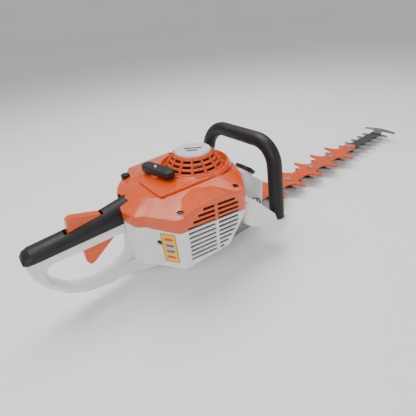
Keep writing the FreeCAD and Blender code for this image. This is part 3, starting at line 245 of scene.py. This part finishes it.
def brushed(name, colour, rough, along=(0.06, 1, 1), stain=(0.30, 0.25, 0.2)):
    """Ground or plated steel: lines along the grinding direction, faint stains, bright edges."""
    material, tree, shader = new_material(name)
    lines = noise(tree, 0.5 * MM, 3, along)
    metal = ramp(tree, lines, [(0.3, shade(colour, 0.8)), (0.7, shade(colour, 1.15))])
    dirt = ramp(tree, lines, [(0.3, stain), (0.7, shade(stain, 1.3))])
    blotch = spread(tree, noise(tree, 16 * MM, 5), -0.25, 0.35)
    link(tree, blend_colour(tree, blotch, metal, dirt), shader.inputs["Base Color"])
    polish = spread(tree, noise(tree, 3 * MM, 4, along), rough - 0.08, rough + 0.1)
    link(tree, polish, shader.inputs["Roughness"])
    surface = bump(tree, lines, 0.04 * MM, 0.5, soft_edge(tree, 0.5 * MM))
    link(tree, surface, shader.inputs["Normal"])
    shader.inputs["Metallic"].default_value = 1.0
    return material


def painted(name, colour, rough, bare_metal_and_highlight):
    """Coated steel: orange-peel in the coat and bare metal along the edges, partly rubbed through and partly
    a painted highlight.
    """
    material, tree, shader = new_material(name)
    base = ramp(tree, noise(tree, 30 * MM, 4), [(0.3, shade(colour, 0.9)), (0.7, shade(colour, 1.08))])
    # The bare metal along the edges is partly rubbed-through wear and partly a painted edge highlight.
    metal = ramp(tree, noise(tree, 2 * MM, 3), [(0.3, shade(bare_metal_and_highlight, 0.8)), (0.7, bare_metal_and_highlight)])
    wear_and_highlight = times(tree, edge_amount(tree, 0.8 * MM), spread(tree, noise(tree, 5 * MM, 5), -0.3, 0.9))
    link(tree, blend_colour(tree, wear_and_highlight, base, metal), shader.inputs["Base Color"])
    link(tree, spread(tree, noise(tree, 10 * MM, 4), rough - 0.06, rough + 0.08), shader.inputs["Roughness"])
    peel = bump(tree, noise(tree, 1.6 * MM, 1), 0.05 * MM, 0.4, soft_edge(tree, 0.6 * MM))
    link(tree, peel, shader.inputs["Normal"])
    shader.inputs["Coat Weight"].default_value = 0.25
    shader.inputs["Coat Roughness"].default_value = 0.2
    return material


def cast(name, colour, rough):
    """Die-cast alloy: sandy skin with darker low patches."""
    material, tree, shader = new_material(name)
    link(tree, ramp(tree, noise(tree, 8 * MM, 6), [(0.3, shade(colour, 0.72)), (0.7, colour)]),
         shader.inputs["Base Color"])
    link(tree, spread(tree, noise(tree, 3 * MM, 4), rough - 0.08, rough + 0.1), shader.inputs["Roughness"])
    sand = bump(tree, noise(tree, 0.7 * MM, 3), 0.15 * MM, 0.6, soft_edge(tree, 0.8 * MM))
    link(tree, sand, shader.inputs["Normal"])
    shader.inputs["Metallic"].default_value = 0.85
    return material


def tank_wall(name, colour):
    """Milky blow-moulded polyethylene that lets a little light in."""
    material, tree, shader = new_material(name)
    cloud = noise(tree, 35 * MM, 4)
    link(tree, ramp(tree, cloud, [(0.3, shade(colour, 0.92)), (0.7, colour)]), shader.inputs["Base Color"])
    link(tree, spread(tree, noise(tree, 6 * MM, 4), 0.3, 0.44), shader.inputs["Roughness"])
    skin = bump(tree, noise(tree, 2.2 * MM, 2), 0.1 * MM, 0.35, soft_edge(tree, 2.5 * MM))
    link(tree, skin, shader.inputs["Normal"])
    shader.inputs["Subsurface Weight"].default_value = 0.25
    shader.inputs["Subsurface Radius"].default_value = (0.004, 0.004, 0.003)
    return material


def fibre(name, colour):
    """Braided cord or felt: a fine diagonal weave."""
    material, tree, shader = new_material(name)
    place = tree.nodes.new("ShaderNodeTexCoord")
    wave = tree.nodes.new("ShaderNodeTexWave")
    wave.bands_direction = "DIAGONAL"
    wave.inputs["Scale"].default_value = 180
    wave.inputs["Distortion"].default_value = 2.0
    link(tree, place.outputs["Object"], wave.inputs["Vector"])
    link(tree, ramp(tree, wave.outputs["Fac"], [(0.2, shade(colour, 0.55)), (0.8, colour)]),
         shader.inputs["Base Color"])
    link(tree, spread(tree, noise(tree, 2 * MM, 3), 0.75, 0.92), shader.inputs["Roughness"])
    weave = bump(tree, wave.outputs["Fac"], 0.2 * MM, 0.8, soft_edge(tree, 0.3 * MM))
    link(tree, weave, shader.inputs["Normal"])
    return material


WHITE = (0.80, 0.80, 0.785)
ORANGE = (0.72, 0.075, 0.0)
BLACK = (0.006, 0.006, 0.0065)
STEEL = (0.36, 0.36, 0.355)

# Edge factors above one in the moulded finishes, and the bare colours of the painted ones, lighten the edges:
# partly wear, partly a painted highlight.
FINISHES = {
    "white_plastic": moulded("white_plastic", WHITE, 0.40, edge_wear_and_highlight=0.9, edge=2.0 * MM),
    "orange_plastic": moulded("orange_plastic", ORANGE, 0.27, edge=2.2 * MM, coat=0.35, edge_wear_and_highlight=1.15),
    "black_rubber": rubber("black_rubber", (0.0075, 0.0073, 0.007), 0.46),
    "black_plastic": moulded("black_plastic", BLACK, 0.38, edge_wear_and_highlight=2.6),
    "badge_plastic": moulded("badge_plastic", (0.74, 0.74, 0.735), 0.24, grain=0.9 * MM, coat=0.5, edge_wear_and_highlight=0.9),
    "tank_plastic": tank_wall("tank_plastic", (0.82, 0.825, 0.80)),
    "label_print": moulded("label_print", (0.90, 0.50, 0.002), 0.30, grain=1.2 * MM, edge_wear_and_highlight=1.1, edge=0.3 * MM),
    "tooth_steel": brushed("tooth_steel", STEEL, 0.34, along=(1, 0.06, 1)),
    "bar_paint": painted("bar_paint", (0.02, 0.02, 0.021), 0.38, (0.35, 0.35, 0.34)),
    "guard_paint": painted("guard_paint", (0.70, 0.070, 0.0), 0.34, (0.42, 0.40, 0.38)),
    "zinc_steel": brushed("zinc_steel", (0.66, 0.66, 0.64), 0.30),
    "handle_steel": painted("handle_steel", (0.03, 0.03, 0.03), 0.35, (0.4, 0.4, 0.4)),
    "cast_alloy": cast("cast_alloy", (0.42, 0.42, 0.425), 0.48),
    "gear_steel": brushed("gear_steel", (0.38, 0.38, 0.38), 0.30, along=(1, 1, 0.06)),
    "muffler_steel": brushed("muffler_steel", (0.25, 0.22, 0.20), 0.5, stain=(0.2, 0.12, 0.08)),
    "dark_screw": brushed("dark_screw", (0.09, 0.09, 0.09), 0.36),
    "ceramic": moulded("ceramic", (0.82, 0.81, 0.76), 0.12, grain=2 * MM, edge_wear_and_highlight=1.0),
    "filter_fibre": fibre("filter_fibre", (0.55, 0.42, 0.22)),
    "rope_fibre": fibre("rope_fibre", (0.72, 0.71, 0.66)),
}


# The casing screws are blackened, unlike the other zinc-plated fasteners.
OWN_FINISH = {"casing_screws": "dark_screw"}


def dress_frame():
    for row in frame["record"]["subparts"]:
        mesh = NODES[row["node"]].data
        mesh.materials.clear()
        mesh.materials.append(FINISHES[OWN_FINISH.get(row["node"], row["material_slot"])])


# ---------------------------------------------------------------- mesh helpers
def mesh_object(name, verts, faces, finish, smooth=True):
    mesh = bpy.data.meshes.new(name)
    mesh.from_pydata([tuple(v) for v in verts], [], faces)
    mesh.update()
    mesh.materials.append(FINISHES[finish] if isinstance(finish, str) else finish)
    work = bmesh.new()
    work.from_mesh(mesh)
    bmesh.ops.recalc_face_normals(work, faces=work.faces)
    work.to_mesh(mesh)
    work.free()
    for polygon in mesh.polygons:
        polygon.use_smooth = smooth
    piece = bpy.data.objects.new(name, mesh)
    bpy.context.scene.collection.objects.link(piece)
    return piece


def lathe(name, profile, frame_matrix, finish, steps=48):
    """A closed turned shape from (radius, height) pairs, first and last on the axis."""
    verts, faces = [], []
    inner = profile[1:-1]
    for radius, height in inner:
        for k in range(steps):
            angle = 2 * math.pi * k / steps
            verts.append(frame_matrix @ Vector((radius * math.cos(angle), radius * math.sin(angle), height)))
    for ring in range(len(inner) - 1):
        for k in range(steps):
            a, b = ring * steps + k, ring * steps + (k + 1) % steps
            faces.append((a, b, b + steps, a + steps))
    low, high = len(verts), len(verts) + 1
    verts.append(frame_matrix @ Vector((0, 0, profile[0][1])))
    verts.append(frame_matrix @ Vector((0, 0, profile[-1][1])))
    last = (len(inner) - 1) * steps
    for k in range(steps):
        faces.append((low, (k + 1) % steps, k))
        faces.append((high, last + k, last + (k + 1) % steps))
    return mesh_object(name, verts, faces, finish)


def slab(name, outline, thick, frame_matrix, finish):
    """A thin plate with a chamfered face, from an outline in its own plane."""
    centre = Vector((sum(x for x, y in outline) / len(outline), sum(y for x, y in outline) / len(outline)))
    chamfer = min(0.35 * thick, 0.2 * MM)
    layers = [(0.0, 0.0), (thick - chamfer, 0.0), (thick, chamfer)]
    verts, faces, count = [], [], len(outline)
    for height, pull in layers:
        for x, y in outline:
            away = Vector((x, y)) - centre
            spot = centre + away * (1 - pull / max(away.length, 1e-6))
            verts.append(frame_matrix @ Vector((spot.x, spot.y, height)))
    for ring in range(len(layers) - 1):
        for k in range(count):
            a, b = ring * count + k, ring * count + (k + 1) % count
            faces.append((a, b, b + count, a + count))
    faces.append(tuple(reversed(range(count))))
    faces.append(tuple(range((len(layers) - 1) * count, len(layers) * count)))
    return mesh_object(name, verts, faces, finish, smooth=False)


def bar_shape(x, y, half_length, half_width, steps=8):
    """A round-ended bar."""
    points = []
    for side in (1, -1):
        for k in range(steps + 1):
            angle = -math.pi / 2 + math.pi * k / steps
            points.append((x + side * (half_length - half_width + half_width * math.cos(angle)),
                           y + side * half_width * math.sin(angle)))
    return points


def plane_frame(origin, across, up):
    """A matrix whose X and Y lie in the plane, with Z out of it."""
    out = across.cross(up).normalized()
    matrix = Matrix((across, up, out)).transposed().to_4x4()
    matrix.translation = origin
    return matrix


# ---------------------------------------------------------------- rope
def pull_rope():
    """The rope and its knot in one skin, stretched between the reel and the grip."""
    low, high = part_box("pull_rope")
    centre = (low + high) / 2
    knot_r = (high.x - low.x) / 2
    knot_z = high.z - knot_r
    length = knot_z - knot_r * KNOT_SINK - low.z
    rings = [(ROPE_RADIUS, low.z + length * k / ROPE_RINGS) for k in range(ROPE_RINGS + 1)]
    for degrees in range(40, 171, 10):
        angle = math.radians(degrees)
        rings.append((knot_r * math.sin(angle), knot_z - knot_r * math.cos(angle)))
    profile = [(0, low.z)] + rings + [(0, high.z)]
    upright = Matrix.Translation((centre.x, centre.y, 0))
    rope = lathe("rope_and_knot", profile, upright, "rope_fibre", ROPE_STEPS)
    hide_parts("pull_rope")
    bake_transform(rope)


# ---------------------------------------------------------------- badge and label
def badge_art():
    """A blank disc with a raised rim and two plain dark bars."""
    low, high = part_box("starter_badge")
    centre, radius = (low + high) / 2, (high.x - low.x) / 2
    top = Matrix.Translation((centre.x, centre.y, high.z))
    rim = [(0, -0.2 * MM), (radius - 0.3 * MM, -0.2 * MM), (radius - 0.3 * MM, 0.5 * MM),
           (radius - 1.2 * MM, 0.8 * MM), (radius - 2.2 * MM, 0.45 * MM), (radius - 2.8 * MM, 0.12 * MM),
           (0, 0.12 * MM)]
    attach(lathe("badge_rim", rim, top, "badge_plastic", BADGE_STEPS), "frame")
    turn = top @ Matrix.Translation((0, 0, 0.1 * MM)) @ Matrix.Rotation(math.radians(BADGE_TURN), 4, "Z")
    ink = moulded("dark_print", (0.02, 0.02, 0.02), 0.35, grain=1.2 * MM, edge_wear_and_highlight=1.4, edge=0.2 * MM)
    for index, (offset, half) in enumerate(BADGE_BARS):
        outline = bar_shape(0, offset, half, BADGE_BAR_HALF)
        bar = slab(f"badge_bar_{index + 1}", outline, BADGE_BAR_THICK, turn, ink)
        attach(bar, "frame")


def label_frame():
    """The label's outer face as a matrix, with half its width and half its height."""
    mesh = NODES["label_plate"].data
    centre = sum((v.co for v in mesh.vertices), Vector()) / len(mesh.vertices)
    outwards = Vector((centre.x, centre.y, 0))
    facing_out = [face for face in mesh.polygons if face.normal.dot(outwards) > 0]
    out = max(facing_out, key=lambda face: face.area).normal.copy()
    up = Vector((0, 0, 1))
    across = up.cross(out).normalized()
    reach = max((v.co - centre).dot(out) for v in mesh.vertices)
    half_across = max(abs((v.co - centre).dot(across)) for v in mesh.vertices)
    half_up = max(abs((v.co - centre).dot(up)) for v in mesh.vertices)
    return plane_frame(centre + out * reach, across, up), half_across, half_up


def label_art():
    """Plain coloured bars inside a dark border, with no signs or letters."""
    face, half_x, half_y = label_frame()
    blue = moulded("blue_print", (0.004, 0.10, 0.50), 0.3, grain=1.2 * MM, edge_wear_and_highlight=1.2, edge=0.2 * MM)
    warm = moulded("warm_print", (0.70, 0.02, 0.005), 0.3, grain=1.2 * MM, edge_wear_and_highlight=1.1, edge=0.2 * MM)
    dark = moulded("border_print", (0.02, 0.02, 0.02), 0.35, grain=1.2 * MM, edge_wear_and_highlight=1.4, edge=0.2 * MM)
    for index, (height, ink) in enumerate(zip(LABEL_ROWS, (warm, blue, blue, warm))):
        outline = bar_shape(0, height * half_y, LABEL_BAR_REACH * half_x, LABEL_BAR_HALF * half_y)
        bar = slab(f"label_bar_{index + 1}", outline, LABEL_BAR_THICK, face, ink)
        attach(bar, "frame")
    inset, corner_steps = 2 * LABEL_LINE, 2
    for side, tag in ((1, "high"), (-1, "low")):
        across = bar_shape(0, side * (half_y - inset), half_x - LABEL_LINE, LABEL_LINE, corner_steps)
        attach(slab(f"label_border_{tag}", across, LABEL_LINE_THICK, face, dark), "frame")
        upright = bar_shape(0, 0, half_y - LABEL_LINE, LABEL_LINE, corner_steps)
        along = [(side * (half_x - inset) + y, x) for x, y in upright]
        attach(slab(f"label_edge_{tag}", along, LABEL_LINE_THICK, face, dark), "frame")


# ---------------------------------------------------------------- studio
def studio_floor():
    """A pale floor with a far edge that rises gently, so no hard horizon shows."""
    material, tree, shader = new_material("studio_floor")
    link(tree, ramp(tree, noise(tree, 0.8, 2), [(0.3, (0.93, 0.93, 0.93)), (0.7, (0.95, 0.95, 0.95))]),
         shader.inputs["Base Color"])
    shader.inputs["Roughness"].default_value = 0.9
    verts, faces = [Vector((0, 0, 0))], []
    for radius in FLOOR_RINGS:
        rise = max(0.0, radius - FLOOR_FLAT) / (FLOOR_RINGS[-1] - FLOOR_FLAT)
        height = FLOOR_RISE * rise ** 3
        for k in range(FLOOR_STEPS):
            angle = 2 * math.pi * k / FLOOR_STEPS
            verts.append(Vector((radius * math.cos(angle), radius * math.sin(angle), height)))
    for k in range(FLOOR_STEPS):
        faces.append((0, 1 + k, 1 + (k + 1) % FLOOR_STEPS))
    for ring in range(len(FLOOR_RINGS) - 1):
        for k in range(FLOOR_STEPS):
            a, b = 1 + ring * FLOOR_STEPS + k, 1 + ring * FLOOR_STEPS + (k + 1) % FLOOR_STEPS
            faces.append((a, a + FLOOR_STEPS, b + FLOOR_STEPS, b))
    floor = mesh_object("studio_floor", verts, faces, material)
    floor.location = (*FLOOR_MIDDLE, cad_box[0].z - FLOOR_GAP)


def area_light(name, spot, aim, size, power):
    data = bpy.data.lights.new(name, "AREA")
    data.shape = "RECTANGLE"
    data.size, data.size_y = size
    data.energy = power
    lamp = bpy.data.objects.new(name, data)
    lamp.location = spot
    lamp.rotation_mode = "QUATERNION"
    lamp.rotation_quaternion = (Vector(aim) - Vector(spot)).to_track_quat("-Z", "Y")
    bpy.context.scene.collection.objects.link(lamp)


def studio_light():
    world = bpy.data.worlds.new("studio")
    world.use_nodes = True
    sky = world.node_tree.nodes["Background"]
    sky.inputs["Color"].default_value = (1, 1, 1, 1)
    sky.inputs["Strength"].default_value = 0.50
    bpy.context.scene.world = world
    middle = (0.1, 0, 0.1)
    area_light("overhead", (0.15, 0.45, 1.7), middle, (1.8, 1.0), 30)
    area_light("key", (-1.1, -0.9, 1.2), middle, (0.7, 0.7), 9)
    area_light("front_fill", (0.8, -1.5, 0.7), middle, (1.0, 0.7), 4)


def camera():
    azimuth, elevation, roll = (math.radians(turn) for turn in (VIEW_AZIMUTH, VIEW_ELEVATION, VIEW_ROLL))
    data = bpy.data.cameras.new("camera")
    data.sensor_width = VIEW_SENSOR
    data.lens = VIEW_LENS
    data.clip_start, data.clip_end = 0.01, 60
    back = Vector((math.sin(azimuth) * math.cos(elevation), -math.cos(azimuth) * math.cos(elevation),
                   math.sin(elevation)))
    right = (-back).cross(Vector((0, 0, 1))).normalized()
    down = (-back).cross(right)
    turned_right = right * math.cos(roll) + down * math.sin(roll)
    turned_down = down * math.cos(roll) - right * math.sin(roll)
    eye = bpy.data.objects.new("camera", data)
    matrix = Matrix((turned_right, -turned_down, back)).transposed().to_4x4()
    matrix.translation = Vector(VIEW_SPOT)
    eye.matrix_world = matrix
    bpy.context.scene.collection.objects.link(eye)
    bpy.context.scene.camera = eye


dress_frame()
pull_rope()
badge_art()
label_art()
studio_floor()
studio_light()
camera()

bpy.context.view_layer.update()
